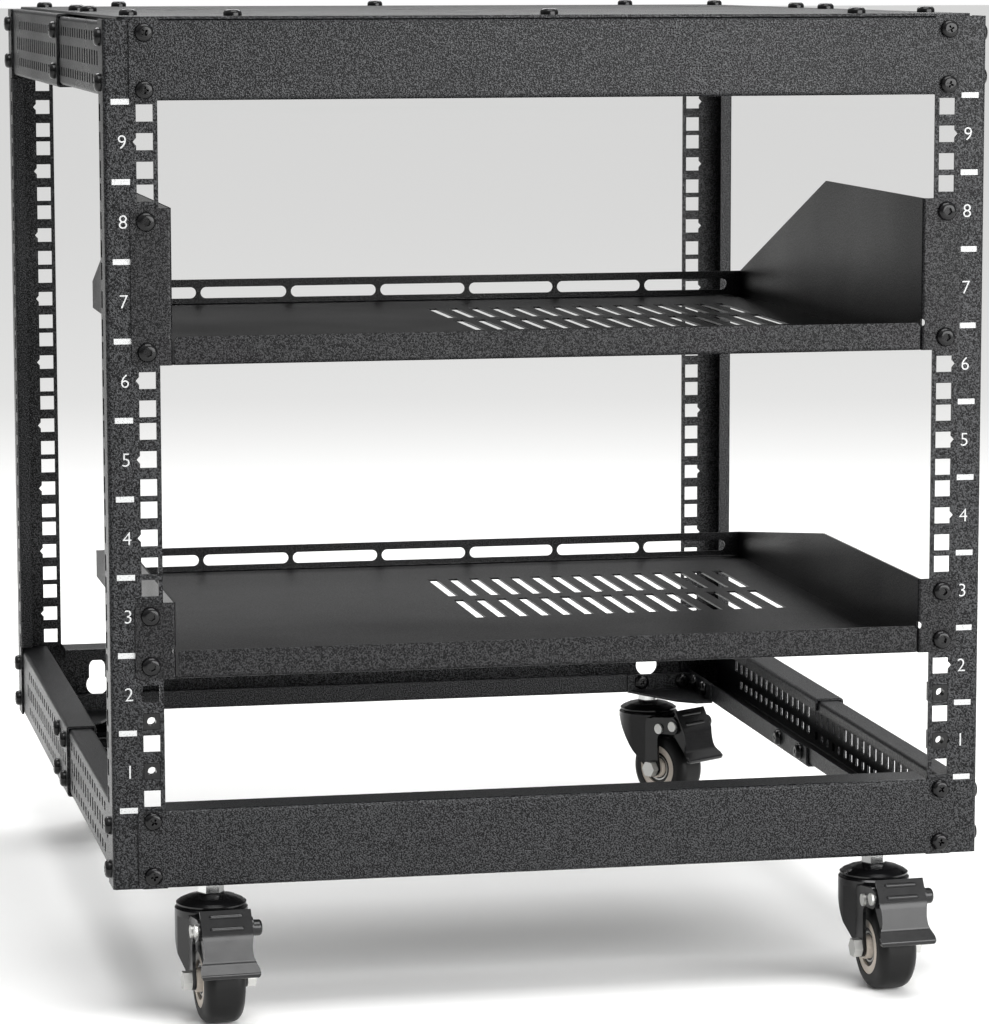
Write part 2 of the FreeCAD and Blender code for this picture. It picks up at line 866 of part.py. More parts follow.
def pedal_front():
    """The pedal from the front: a straight top, a waist and a wider foot with round corners."""
    top = pedal_top_width / 2
    waist = pedal_waist_width / 2
    foot = pedal_foot_width / 2
    high = pivot_z + pedal_above_pivot
    crease = pivot_z - pedal_crease_drop
    low = pivot_z - pedal_foot_drop
    flare = (crease + low) / 2
    corner = pedal_corner
    inward = corner * (1 - math.sqrt(0.5))
    right = [
        line_between(point(0, top, high), point(0, top, crease)),
        arc_through(
            point(0, top, crease), point(0, waist, (crease + flare) / 2),
            point(0, (top + waist) / 2, flare),
        ),
        line_between(point(0, (top + waist) / 2, flare), point(0, foot, low + 1.6 * corner)),
        line_between(point(0, foot, low + 1.6 * corner), point(0, foot, low + corner)),
        arc_through(
            point(0, foot, low + corner), point(0, foot - inward, low + inward),
            point(0, foot - corner, low),
        ),
    ]
    left = [edge.mirror(point(0, 0, 0), point(0, 1, 0)) for edge in right]
    ends = [
        line_between(point(0, -top, high), point(0, top, high)),
        line_between(point(0, corner - foot, low), point(0, foot - corner, low)),
    ]
    return tube_of(Part.__sortEdges__(right + left + ends), point(pivot_x + race_radius, 0, 0))


def pedal_cheek_side():
    """A cheek from the side: an eye round the pivot and a web along the back of the plate."""
    pivot = (pivot_x, pivot_z)
    web = from_pivot(pedal_cheek)
    return side_shape(web[0], [(corner,) for corner in web[1:]] + [
        (on_circle(pivot, pedal_eye_radius, 245),),
        (on_circle(pivot, pedal_eye_radius, 180), on_circle(pivot, pedal_eye_radius, 120)),
    ], fork_half_width - fork_sheet - cheek_gap)


def pedal_rib(step):
    """A pressed rib across the pedal's upper face, a given way down from its top edge."""
    start, crease = from_pivot(pedal_face[:2])
    along = unit(*start, *crease)
    sink = rib_radius - rib_stand
    x = start[0] + along[0] * step + along[1] * sink
    z = start[1] + along[1] * step - along[0] * sink
    half = rib_length / 2 - rib_radius
    bar = Part.makeCylinder(rib_radius, 2 * half, point(x, -half, z), point(0, 1, 0))
    ends = [Part.makeSphere(rib_radius, point(x, side * half, z)) for side in (-1, 1)]
    return bar.fuse(ends)


def caster_pedal():
    """Stamped rocker pedal: a creased plate with two ribs, and two cheeks to the pivot."""
    widest = pedal_foot_width
    plate = folded_sheet(
        from_pivot(pedal_face), pedal_sheet, pedal_bends, -1,
        lambda x, z: point(x, -widest, z), point(0, 2 * widest, 0),
    ).common(pedal_front())
    ribs = [pedal_rib(step) for step in rib_steps]
    outer = fork_half_width - fork_sheet - cheek_gap
    inside = block(
        0, pivot_x + race_radius, -outer + cheek_sheet, outer - cheek_sheet, 0, caster_height,
    )
    cheeks = pedal_cheek_side().cut(inside)
    bore = Part.makeCylinder(
        pin_radius + running_clearance, 4 * race_radius,
        point(pivot_x, -2 * race_radius, pivot_z), point(0, 1, 0),
    )
    return plate.fuse(ribs + [cheeks]).cut(bore).removeSplitter()


def stem_place(corner):
    side = 1 if corner.endswith("right") else -1
    y = stem_setback if corner.startswith("front") else frame_depth - stem_setback
    return point(side * stem_offset, y, 0)


def caster_placement(corner):
    """Turns a caster so that its pedal points the way that this corner's caster faces."""
    turn = FreeCAD.Rotation(point(0, 0, 1), caster_headings[corner] - 90)
    return FreeCAD.Placement(stem_place(corner), turn)


# --- the whole rack ---------------------------------------------------------------------

def ear_span(first_hole, last_hole):
    """Base and height of a shelf's ear, bolted at two square holes counted from the bottom."""
    heights = [height for height, notched in unit_holes()]
    low = heights[first_hole - 1]
    high = heights[last_hole - 1]
    return low - ear_margin, high - low + 2 * ear_margin


def frame_parts():
    parts = {}
    right_post = front_right_post()
    left_post = across_x(right_post)
    parts["post_front_right"] = right_post
    parts["post_front_left"] = left_post
    parts["post_rear_right"] = across_depth(right_post)
    parts["post_rear_left"] = across_depth(left_post)
    for level, bottom, drilled in (("bottom", beam_bottom, True), ("top", top_beam_bottom, False)):
        parts["beam_front_" + level] = front_beam(bottom, drilled)
        parts["beam_rear_" + level] = rear_beam(bottom, drilled)
        for end, make in (("front", front_rail), ("rear", rear_rail)):
            rail = make(bottom)
            parts["rail_right_" + level + "_" + end] = rail
            parts["rail_left_" + level + "_" + end] = across_x(rail)
    parts["top_cover"] = top_cover()
    parts["shelf_upper"] = shelf(*ear_span(18, 23))
    parts["shelf_lower"] = shelf(*ear_span(6, 8))
    front_brace = brace(nest)
    rear_brace = across_depth(brace(0.0))
    parts["corner_braces"] = Part.makeCompound([
        front_brace, across_x(front_brace), rear_brace, across_x(rear_brace),
    ])
    nuts = []
    for height in (unit_zero + unit_hole_heights[1], unit_zero + rack_unit + unit_hole_heights[0]):
        nut = cage_nut(height)
        nuts += [nut, across_x(nut)]
    parts["cage_nuts"] = Part.makeCompound(nuts)
    return parts


def caster_parts(corner):
    makers = {
        "mount": caster_mount, "fork": caster_fork, "pins": caster_pins,
        "wheel": caster_wheel, "tyre": caster_tyre, "pedal": caster_pedal,
    }
    parts = {}
    fixed = FreeCAD.Placement(stem_place(corner), FreeCAD.Rotation())
    for piece, make in makers.items():
        solid = make()
        seat = fixed if piece == "mount" else caster_placement(corner)
        solid.Placement = seat.multiply(solid.Placement)
        parts["caster_" + corner + "_" + piece] = solid
    return parts


def all_parts():
    parts = frame_parts()
    for corner in caster_headings:
        parts.update(caster_parts(corner))
    return parts


def base_centre(parts):
    """The middle of the whole rack's box, at the floor, which becomes the origin."""
    boxes = [shape.optimalBoundingBox(False, False) for shape in parts.values()]
    x = (min(b.XMin for b in boxes) + max(b.XMax for b in boxes)) / 2
    y = (min(b.YMin for b in boxes) + max(b.YMax for b in boxes)) / 2
    return point(x, y, 0)


def main():
    os.makedirs("parts", exist_ok=True)
    parts = all_parts()
    origin = base_centre(parts)
    for name, shape in parts.items():
        shape.translate(-origin)
        shape.exportStep("parts/" + name + ".step")
    return origin


origin_shift = main()
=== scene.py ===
import json
import math

import bmesh
import bpy
from bpy.props import FloatProperty, FloatVectorProperty, IntProperty, PointerProperty, StringProperty
from bpy.types import Operator, Panel, PropertyGroup
from mathutils import Euler, Matrix, Vector


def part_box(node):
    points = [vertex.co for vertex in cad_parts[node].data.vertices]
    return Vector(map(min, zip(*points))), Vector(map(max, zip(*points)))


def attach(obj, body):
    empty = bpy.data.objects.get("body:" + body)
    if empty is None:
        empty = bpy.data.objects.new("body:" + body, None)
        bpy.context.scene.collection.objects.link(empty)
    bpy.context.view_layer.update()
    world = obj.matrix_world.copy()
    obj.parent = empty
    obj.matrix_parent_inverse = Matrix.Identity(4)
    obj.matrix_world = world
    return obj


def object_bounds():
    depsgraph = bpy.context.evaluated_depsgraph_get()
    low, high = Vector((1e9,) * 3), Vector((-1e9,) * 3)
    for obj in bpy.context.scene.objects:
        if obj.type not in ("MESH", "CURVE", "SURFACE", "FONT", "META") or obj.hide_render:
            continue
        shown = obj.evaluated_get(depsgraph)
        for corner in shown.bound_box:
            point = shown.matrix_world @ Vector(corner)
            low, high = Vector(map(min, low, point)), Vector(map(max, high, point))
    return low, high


bl_info = {
    "name": "Open Frame Rack Finish",
    "version": (1, 0, 0),
    "blender": (4, 5, 0),
    "location": "3D View > Sidebar > Rack",
    "description": "Powder coat, screws, unit marks and casters for a nine unit open frame rack",
    "category": "Object",
}

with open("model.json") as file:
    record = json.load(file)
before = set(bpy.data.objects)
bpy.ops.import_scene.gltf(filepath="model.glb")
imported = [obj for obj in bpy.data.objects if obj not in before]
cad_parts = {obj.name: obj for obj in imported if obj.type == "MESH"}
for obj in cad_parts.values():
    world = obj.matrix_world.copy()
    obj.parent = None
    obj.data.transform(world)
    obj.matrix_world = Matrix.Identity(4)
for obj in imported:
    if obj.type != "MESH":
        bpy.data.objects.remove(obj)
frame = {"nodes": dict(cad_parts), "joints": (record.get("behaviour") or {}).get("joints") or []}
CAD_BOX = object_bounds()
CORNERS = ("front_left", "front_right", "rear_left", "rear_right")
LEVELS = ("top", "bottom")
SIDES = (("left", -1), ("right", 1))

# The rack's own planes, read from its solids once they are loaded.
POST_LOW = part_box("post_front_right")[0]
FRONT = POST_LOW.y
BASE = POST_LOW.z
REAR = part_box("post_rear_right")[1].y

# Counts of facets, the least angle that stays an edge, and distances too small to count.
HEAD_SEGMENTS = 28
CROWN_SEGMENTS = 5
RING_STEPS = 48
SHARP_EDGE = math.radians(35)
SAME_POINT = 1e-7
SAME_HEIGHT = 1e-6

# Shares of a screw head's height.
PAN_CROWN = 0.66
BUTTON_CROWN = 0.82
RECESS_DEPTH = 1.5
RECESS_RISE = 1.05
SOCKET_DEPTH = 1.6
SOCKET_RISE = 1.2

# A cross recess: length over width of an arm pair, its sizes at the bottom as shares of those at
# the top, the degrees from one screw's recess to the next one's, and those after which it repeats.
RECESS_SLENDERNESS = 4.6
RECESS_TAPER = (0.34, 0.6, 1.0)
SCREW_TURN = 37
CROSS_TURN = 90

# Height of a digit as a share of its font's size.
DIGIT_SHARE = 0.72

WHITE = (1.0, 1.0, 1.0, 1.0)


def hex_colour(text):
    """An sRGB hex colour as the linear RGBA that the shaders take."""
    channels = [int(text.lstrip("#")[i:i + 2], 16) / 255 for i in (0, 2, 4)]
    linear = [c / 12.92 if c <= 0.04045 else ((c + 0.055) / 1.055) ** 2.4 for c in channels]
    return (*linear, 1.0)


def shaded(base, share):
    """A linear colour made darker or lighter by a share."""
    return tuple(c * share for c in base[:3]) + (1.0,)


# --- settings that a user would change ----------------------------------------------------

def length(name, description, default):
    return FloatProperty(name=name, description=description, default=default, unit="LENGTH", precision=5)


def angle(name, description, degrees):
    return FloatProperty(
        name=name, description=description, default=math.radians(degrees), subtype="ANGLE",
    )


def power(name, description, default):
    return FloatProperty(name=name, description="Power of " + description, default=default, unit="POWER")


def colour(name, description, default):
    return StringProperty(name=name, description=description + ", as an sRGB hex value", default=default)


class RackPatternSettings(PropertyGroup):
    """Where the rack's holes, and so its screws and marks, are."""
    units: IntProperty(name="Units", description="Number of rack units", default=9, min=1)
    rack_unit: length("Rack unit", "Height of one rack unit", 0.04445)
    first_unit: length("First unit", "Height of unit 1 above the foot of the posts", 0.04545)
    hole_line: length("Hole line", "Distance of the square holes from the middle of the rack", 0.23255)
    outer_hole: FloatProperty(
        name="Outer hole", description="Place of a unit's lowest hole, as a share of the unit", default=1 / 7,
    )


class RackScrewSettings(PropertyGroup):
    """Sizes of the screws, and how they stand on the rails and the shelves."""
    pan_diameter: length("Pan head", "Diameter of the frame screws' heads", 0.0104)
    pan_height: length("Pan height", "Height of the frame screws' heads", 0.0036)
    recess_width: length("Cross recess", "Length of each arm pair of the cross recess", 0.0064)
    button_diameter: length("Button head", "Diameter of the shelf screws' heads", 0.0112)
    button_height: length("Button height", "Height of the shelf screws' heads", 0.0034)
    button_socket: length("Hexagon socket", "Size across the flats of the shelf screws' sockets", 0.0042)
    end_screw: length("End screw", "Distance of a rail's end screws from the rack's face", 0.0120)
    row_spacing: length("Screw rows", "Distance of a rail's screws from the middle of its web", 0.0126)
    seam_screw: length("Seam screw", "Distance of a rail's seam screws from the rack's front", 0.2865)
    seam_step: length("Seam step", "Distance between the two columns of a bottom rail's screws", 0.0405)
    ear_screw: length("Ear screw", "Distance of a shelf's screws from the ends of its ears", 0.0075)


class RackCoverScrewSettings(PropertyGroup):
    """Where the screws of the top cover are."""
    setback: length("Setback", "Distance of the end screws from the rack's faces", 0.012)
    front_step: length("Front step", "Distance between the screws at the front", 0.181)
    rear_step: length("Rear step", "Distance between the screws at the back", 0.180)
    side_line: length("Side line", "Distance of the side screws from the middle of the rack", 0.235)
    corner: length("Corner screw", "Distance of a side's end screws from the rack's faces", 0.052)
    inner: length("Inner screw", "Distance of a side's inner screws from the rack's faces", 0.265)


class RackBraceScrewSettings(PropertyGroup):
    """Where the screws of the corner braces and of the bottom rails' lips are."""
    rise: length("Rise", "Height of the screws above the foot of the posts", 0.0078)
    beam_face: length("Beam face", "Distance of a brace's beam flange from the rack's face", 0.0265)
    beam_near: length("Beam near", "Distance of the inner beam screw from the middle of the rack", 0.190)
    beam_far: length("Beam far", "Distance of the outer beam screw from the middle of the rack", 0.220)
    rail_near: length("Rail near", "Distance of a brace's first rail screw from the rack's face", 0.034)
    rail_far: length("Rail far", "Distance of a brace's second rail screw from the rack's face", 0.062)
    front_face: length("Front flange", "Distance of a front brace's rail flange from the middle", 0.2292)
    rear_face: length("Rear flange", "Distance of a rear brace's rail flange from the middle", 0.2275)
    lip_face: length("Lip", "Distance of a rear rail's lip from the middle of the rack", 0.2290)
    lip_near: length("Lip near", "Distance of the lip's first screw from the rack's front", 0.290)
    lip_far: length("Lip far", "Distance of the lip's second screw from the rack's front", 0.341)


class RackCasterSettings(PropertyGroup):
    """Sizes of the wheel bearings and of the enamelled part of the stem."""
    nut_height: length("Stem nut", "Height of the nut between a caster's cup and the frame", 0.0075)
    enamel_rise: length("Enamel", "How far the cup's enamel reaches up the nut", 0.0010)
    shield_inner: length("Shield bore", "Inner radius of a bearing's shield", 0.0072)
    shield_outer: length("Shield rim", "Outer radius of a bearing's shield", 0.0113)
    shield_low: length("Shield back", "Distance of the shield's back from the wheel's middle", 0.0080)
    shield_high: length("Shield face", "Distance of the shield's face from the wheel's middle", 0.0100)
    race_inner: length("Race bore", "Inner radius of the bright ring", 0.0082)
    race_outer: length("Race rim", "Outer radius of the bright ring", 0.0091)
    race_high: length("Race face", "Distance of the bright ring's face from the wheel's middle", 0.0104)


class RackMarkSettings(PropertyGroup):
    """Sizes of the printed unit marks."""
    bar_length: length("Bar length", "Length of a unit bar", 0.0102)
    bar_height: length("Bar height", "Height of a unit bar", 0.0032)
    bar_centre: length("Bar centre", "Distance of the bars from the middle of the rack", 0.2461)
    numeral_height: length("Numeral height", "Height of the unit numbers", 0.0080)
    numeral_centre: length("Numeral centre", "Distance of the numbers from the middle of the rack", 0.2452)
    ink: length("Ink", "Thickness of the printed ink", 0.00006)
    stroke: length("Stroke", "How much the numbers' strokes are thinned on each side", 0.00012)


class RackColourSettings(PropertyGroup):
    """Colours of the finishes."""
    powder_coat: colour("Powder coat", "Peaks of the sand-texture powder coat", "#28292B")
    # painted shade: the valley colour darkens the coat's grain where its bumps dip
    painted_valley_shade: colour("Coat valleys", "Valleys of the sand-texture powder coat", "#060607")
    shelf_coat: colour("Shelf coat", "Semi-gloss coat of the shelves", "#1B1B1D")
    enamel: colour("Enamel", "Gloss enamel of the casters", "#0C0C0D")
    screw: colour("Screws", "Black oxide of the screws", "#070708")
    ink: colour("Ink", "Printed unit marks", "#B4B5B5")
    zinc: colour("Zinc", "Zinc plate of the rivets, bolts and stems", "#D2D3D2")
    hub: colour("Hub", "Moulded nylon of the wheels", "#C9BFB3")
    shield: colour("Shield", "Shields of the wheel bearings", "#1D1B1A")
    tread: colour("Tread", "Rubber of the tyres", "#070707")
    floor: colour("Floor", "Studio floor", "#FBFBFA")


class RackStageSettings(PropertyGroup):
    """Camera and lights."""
    lens: FloatProperty(name="Lens", description="Focal length in millimetres", default=147.3)
    sensor: FloatProperty(name="Sensor", description="Sensor width in millimetres", default=36.0)
    heading: angle("Heading", "Turn of the camera to the right", 11.489)
    tilt: angle("Tilt", "Tilt of the camera downwards", 7.412)
    roll: angle("Roll", "Roll of the camera", -0.089)
    stand: FloatVectorProperty(
        name="Stand", description="Camera's place from the foot of unit 1 on the front posts' face",
        default=(-0.50742, -2.32663, 0.47381), subtype="TRANSLATION",
    )
    sight: length("Sight", "Distance to which the camera sees", 200.0)
    key_power: power("Key", "the key softbox", 105.0)
    fill_power: power("Fill", "the side softbox", 0.6)
    top_power: power("Top", "the top softbox", 34.0)
    back_power: power("Back", "the back softbox", 32.0)
    zenith: FloatProperty(name="Zenith", description="Light from straight above", default=0.95)
    horizon: FloatProperty(name="Horizon", description="Light from the horizon", default=0.15)
    backdrop: FloatProperty(name="Backdrop", description="Brightness of the backdrop", default=1.0)
    floor_reach: length("Floor", "Distance from the rack to the floor's edges", 60.0)


# --- shading ------------------------------------------------------------------------------

def add_node(tree, kind, settings=None, inputs=None):
    """Adds a node, sets its options, and gives each input a value or a link."""
    node = tree.nodes.new(kind)
    for name, value in (settings or {}).items():
        setattr(node, name, value)
    for name, value in (inputs or {}).items():
        if isinstance(value, bpy.types.NodeSocket):
            tree.links.new(value, node.inputs[name])
        else:
            node.inputs[name].default_value = value
    return node


def new_material(name, shader):
    """Makes a material of one shader with the plain values given: its nodes, shader and place."""
    material = bpy.data.materials.new(name)
    material.use_nodes = True
    tree = material.node_tree
    tree.nodes.clear()
    surface = add_node(tree, "ShaderNodeBsdfPrincipled", inputs=shader)
    add_node(tree, "ShaderNodeOutputMaterial", inputs={"Surface": surface.outputs["BSDF"]})
    place = add_node(tree, "ShaderNodeTexCoord")
    return tree, surface, place.outputs["Object"]


def noise(tree, place, scale, detail):
    """A noise whose coarsest shapes repeat about scale times in a metre."""
    inputs = {"Vector": place, "Scale": scale, "Detail": detail}
    return add_node(tree, "ShaderNodeTexNoise", inputs=inputs).outputs["Fac"]


def spread(tree, value, low, high, to_low=0.0, to_high=1.0):
    """Stretches the values between low and high over the range given, and holds those beyond."""
    return add_node(tree, "ShaderNodeMapRange", inputs={
        "Value": value, "From Min": low, "From Max": high, "To Min": to_low, "To Max": to_high,
    }).outputs["Result"]


def blend(tree, factor, first, second):
    """Goes from the first colour to the second as the factor goes from 0 to 1."""
    mixed = add_node(tree, "ShaderNodeMix", {"data_type": "RGBA"}, {
        "Factor": factor, 6: first, 7: second,
    })
    return mixed.outputs[2]


def relief(tree, height, strength, depth):
    """The normal of a surface that goes up and down by a depth in metres."""
    inputs = {"Height": height, "Strength": strength, "Distance": depth}
    return add_node(tree, "ShaderNodeBump", inputs=inputs).outputs["Normal"]


def drive(tree, surface, sources):
    """Links what the textures work out to the shader's inputs, by their names."""
    for name, source in sources.items():
        tree.links.new(source, surface.inputs[name])


def sand_powder_coat(name, peak, shade_in_valleys, grain, depth, roughness):
    """Polyester powder coat baked to a sand texture: hard rounded grains, with painted shade darkening the
    valleys between them.
    """
    tree, surface, place = new_material(name, {"IOR": 1.5})
    grains = noise(tree, place, scale=1.0 / grain, detail=1.0)
    clouds = noise(tree, place, scale=9.0, detail=2.0)
    grain_height_and_shade = spread(tree, grains, 0.40, 0.66)
    drive(tree, surface, {
        # painted shade: the grain's valleys take a darker colour than its peaks
        "Base Color": blend(tree, grain_height_and_shade, hex_colour(shade_in_valleys), hex_colour(peak)),
        "Roughness": spread(tree, clouds, 0.3, 0.7, to_low=roughness - 0.04, to_high=roughness + 0.05),
        # painted shade: the valleys also reflect less, as though they saw little of the lights
        "Specular IOR Level": spread(tree, grain_height_and_shade, 0.0, 1.0, to_low=0.12, to_high=0.4),
        "Normal": relief(tree, grain_height_and_shade, strength=1.0, depth=depth),
    })


def gloss_enamel(name, hex_value, roughness, wave, shine=0.4):
    """Stoved gloss enamel on pressed steel: nearly smooth, with a faint orange peel."""
    tree, surface, place = new_material(name, {
        "Base Color": hex_colour(hex_value), "Specular IOR Level": shine,
    })
    peel = noise(tree, place, scale=1.0 / wave, detail=1.0)
    dust = noise(tree, place, scale=160.0, detail=3.0)
    drive(tree, surface, {
        "Roughness": spread(tree, dust, 0.35, 0.7, to_low=roughness - 0.02, to_high=roughness + 0.02),
        "Normal": relief(tree, peel, strength=0.3, depth=0.00003),
    })


def zinc_above(name, height, enamel, zinc):
    """Turns an enamel to bright zinc above a height, as on a stem that stands in an enamelled cup."""
    tree = bpy.data.materials[name].node_tree
    place = tree.nodes["Texture Coordinate"].outputs["Object"]
    split = add_node(tree, "ShaderNodeSeparateXYZ", inputs={"Vector": place})
    plated = add_node(tree, "ShaderNodeMath", {"operation": "GREATER_THAN"}, {
        0: split.outputs["Z"], 1: height,
    }).outputs["Value"]
    drive(tree, tree.nodes["Principled BSDF"], {
        "Base Color": blend(tree, plated, hex_colour(enamel), hex_colour(zinc)),
        "Metallic": plated,
    })


def zinc_plate(name, hex_value):
    """Bright zinc plate on cold-formed steel: a metal with a slight haze and fine tool marks."""
    tree, surface, place = new_material(name, {
        "Base Color": hex_colour(hex_value), "Metallic": 1.0,
    })
    haze = noise(tree, place, scale=420.0, detail=3.0)
    drive(tree, surface, {
        "Roughness": spread(tree, haze, 0.3, 0.7, to_low=0.2, to_high=0.36),
        "Normal": relief(tree, haze, strength=0.4, depth=0.00005),
    })


def moulded_nylon(name, hex_value):
    """Moulded nylon: a warm grey body with a slight cloudiness and a satin skin."""
    tree, surface, place = new_material(name, {"Roughness": 0.38, "IOR": 1.53})
    clouds = noise(tree, place, scale=120.0, detail=3.0)
    base = hex_colour(hex_value)
    drive(tree, surface, {
        "Base Color": blend(tree, clouds, shaded(base, 0.86), base),
        "Normal": relief(tree, clouds, strength=0.2, depth=0.00008),
    })


def tread_rubber(name, hex_value):
    """Moulded tyre rubber: dull, with a faint bloom."""
    tree, surface, place = new_material(name, {"Specular IOR Level": 0.22, "IOR": 1.52})
    bloom = noise(tree, place, scale=75.0, detail=4.0)
    fine = noise(tree, place, scale=1600.0, detail=2.0)
    base = hex_colour(hex_value)
    drive(tree, surface, {
        "Base Color": blend(tree, bloom, base, shaded(base, 1.7)),
        "Roughness": spread(tree, bloom, 0.3, 0.7, to_low=0.36, to_high=0.5),
        "Normal": relief(tree, fine, strength=0.25, depth=0.00006),
    })


def screen_ink(name, hex_value):
    """Screen-printed ink on the textured coat: it is thin, so the grain shows through as flecks."""
    tree, surface, place = new_material(name, {"Roughness": 0.55})
    flecks = noise(tree, place, scale=1100.0, detail=3.0)
    base = hex_colour(hex_value)
    drive(tree, surface, {
        "Base Color": blend(tree, spread(tree, flecks, 0.3, 0.44), shaded(base, 0.35), base),
        "Normal": relief(tree, flecks, strength=0.4, depth=0.00005),
    })


def make_finishes(colours, casters):
    """All of the rack's finishes. Each goes by its material's name."""
    sand_powder_coat(
        "sand_texture_powder_coat", colours.powder_coat, colours.painted_valley_shade,
        grain=0.00085, depth=0.00011, roughness=0.3,
    )
    sand_powder_coat(
        "semi_gloss_powder_coat", colours.shelf_coat, colours.painted_valley_shade,
        grain=0.0008, depth=0.00003, roughness=0.34,
    )
    gloss_enamel("black_gloss_enamel", colours.enamel, roughness=0.24, wave=0.004)
    gloss_enamel("enamelled_cup_and_zinc_stem", colours.enamel, roughness=0.18, wave=0.004)
    zinc_above(
        "enamelled_cup_and_zinc_stem", BASE - casters.nut_height + casters.enamel_rise,
        colours.enamel, colours.zinc,
    )
    gloss_enamel("bearing_shield", colours.shield, roughness=0.35, wave=0.004)
    gloss_enamel("black_oxide_steel", colours.screw, roughness=0.2, wave=0.002, shine=0.3)
    zinc_plate("zinc_plated_steel", colours.zinc)
    moulded_nylon("moulded_nylon", colours.hub)
    tread_rubber("tyre_rubber", colours.tread)
    screen_ink("white_screen_ink", colours.ink)


def dress(node, finish):
    """Gives a CAD node one of the finishes on all of its faces."""
    slots = frame["nodes"][node].data.materials
    slots.clear()
    slots.append(bpy.data.materials[finish])


# --- modelling ----------------------------------------------------------------------------

def as_piece(name, mesh, finish, body):
    """Makes a finished piece of a mesh: smooth shaded, in its finish, riding on its body."""
    mesh.name = name
    mesh.materials.clear()
    mesh.materials.append(bpy.data.materials[finish])
    mesh.polygons.foreach_set("use_smooth", [True] * len(mesh.polygons))
    mesh.set_sharp_from_angle(angle=SHARP_EDGE)
    piece = bpy.data.objects.new(name, mesh)
    bpy.context.scene.collection.objects.link(piece)
    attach(piece, body)


def as_mesh(shape, name):
    """Turns a bmesh into a mesh and frees it."""
    mesh = bpy.data.meshes.new(name)
    shape.to_mesh(mesh)
    shape.free()
    return mesh


def closed_mesh(shape, name):
    """Turns a bmesh into a mesh with its points joined and its faces outwards, and frees it."""
    bmesh.ops.remove_doubles(shape, verts=shape.verts, dist=SAME_POINT)
    bmesh.ops.recalc_face_normals(shape, faces=shape.faces)
    return as_mesh(shape, name)


def evaluated_mesh(holder):
    """A new mesh of what an object's data and modifiers give."""
    bpy.context.view_layer.update()
    return bpy.data.meshes.new_from_object(holder.evaluated_get(bpy.context.evaluated_depsgraph_get()))


def carve(body, tool):
    """Cuts one mesh out of another and gives the result as a new mesh."""
    block = bpy.data.objects.new("blank", body)
    cutter = bpy.data.objects.new("cutter", tool)
    for item in (block, cutter):
        bpy.context.scene.collection.objects.link(item)
    cut = block.modifiers.new("recess", "BOOLEAN")
    cut.operation = "DIFFERENCE"
    cut.solver = "EXACT"
    cut.object = cutter
    result = evaluated_mesh(block)
    for item in (block, cutter):
        bpy.data.objects.remove(item)
    return result


def edges_at(shape, height):
    """The edges that lie flat at a height."""
    return [edge for edge in shape.edges if all(abs(v.co.z - height) < SAME_HEIGHT for v in edge.verts)]


def upright_prism(sides, radius, depth, middle):
    """A round or many-sided bar about the z axis, with its middle at a height."""
    shape = bmesh.new()
    bmesh.ops.create_cone(
        shape, cap_ends=True, segments=sides, radius1=radius, radius2=radius, depth=depth,
    )
    bmesh.ops.translate(shape, verts=shape.verts, vec=(0, 0, middle))
    return shape


def domed_head(diameter, height, crown):
    """A low screw head that stands on z = 0, rounded over its upper edge."""
    shape = upright_prism(HEAD_SEGMENTS, diameter / 2, height, height / 2)
    bmesh.ops.bevel(
        shape, geom=edges_at(shape, height), offset=crown, offset_type="OFFSET",
        segments=CROWN_SEGMENTS, profile=0.5, affect="EDGES", material=-1, clamp_overlap=True,
    )
    return closed_mesh(shape, "head")


def pan_head(sizes):
    """A pan head with a cross recess whose arms taper to the bottom."""
    height = sizes.pan_height
    size = (sizes.recess_width, sizes.recess_width / RECESS_SLENDERNESS, height * RECESS_DEPTH)
    head = domed_head(sizes.pan_diameter, height, height * PAN_CROWN)
    for turn in (0.0, math.pi / 2):
        shape = bmesh.new()
        arm = bmesh.ops.create_cube(shape, size=1.0)["verts"]
        bmesh.ops.scale(shape, verts=arm, vec=size)
        low = [v for v in arm if v.co.z < 0]
        bmesh.ops.scale(shape, verts=low, vec=RECESS_TAPER)
        bmesh.ops.rotate(shape, verts=arm, matrix=Matrix.Rotation(turn, 3, "Z"))
        bmesh.ops.translate(shape, verts=arm, vec=(0, 0, height * RECESS_RISE))
        head = carve(head, closed_mesh(shape, "recess_arm"))
    return head


def button_head(sizes):
    """A button head with a hexagon socket."""
    height = sizes.button_height
    corner_radius = sizes.button_socket / math.sqrt(3)
    socket = upright_prism(6, corner_radius, height * SOCKET_DEPTH, height * SOCKET_RISE)
    head = domed_head(sizes.button_diameter, height, height * BUTTON_CROWN)
    return carve(head, closed_mesh(socket, "socket"))


def ring(inner, outer, low, high):
    """A flat ring about the z axis."""
    shape = bmesh.new()
    corners = ((inner, low), (outer, low), (outer, high), (inner, high))
    section = [shape.verts.new((radius, 0.0, z)) for radius, z in corners]
    edges = [shape.edges.new((section[i], section[i - 1])) for i in range(len(section))]
    bmesh.ops.spin(
        shape, geom=section + edges, axis=(0, 0, 1), cent=(0, 0, 0), angle=math.tau,
        steps=RING_STEPS, use_merge=True,
    )
    return closed_mesh(shape, "ring")


def seat_at(place, outward, turn=0.0):
    """The matrix that stands a part's z axis on a surface, turned about that axis."""
    stand = Vector(outward).to_track_quat("Z", "Y").to_matrix().to_4x4()
    return Matrix.Translation(place) @ stand @ Matrix.Rotation(turn, 4, "Z")


def add_copy(whole, source, seat):
    """Adds a copy of a mesh to a bmesh, moved by the seat's matrix."""
    one = source.copy()
    one.transform(seat)
    whole.from_mesh(one)
    bpy.data.meshes.remove(one)


def copies(source, seats):
    """One mesh that holds a copy of the source at each seat."""
    whole = bmesh.new()
    for seat in seats:
        add_copy(whole, source, seat)
    return as_mesh(whole, source.name)


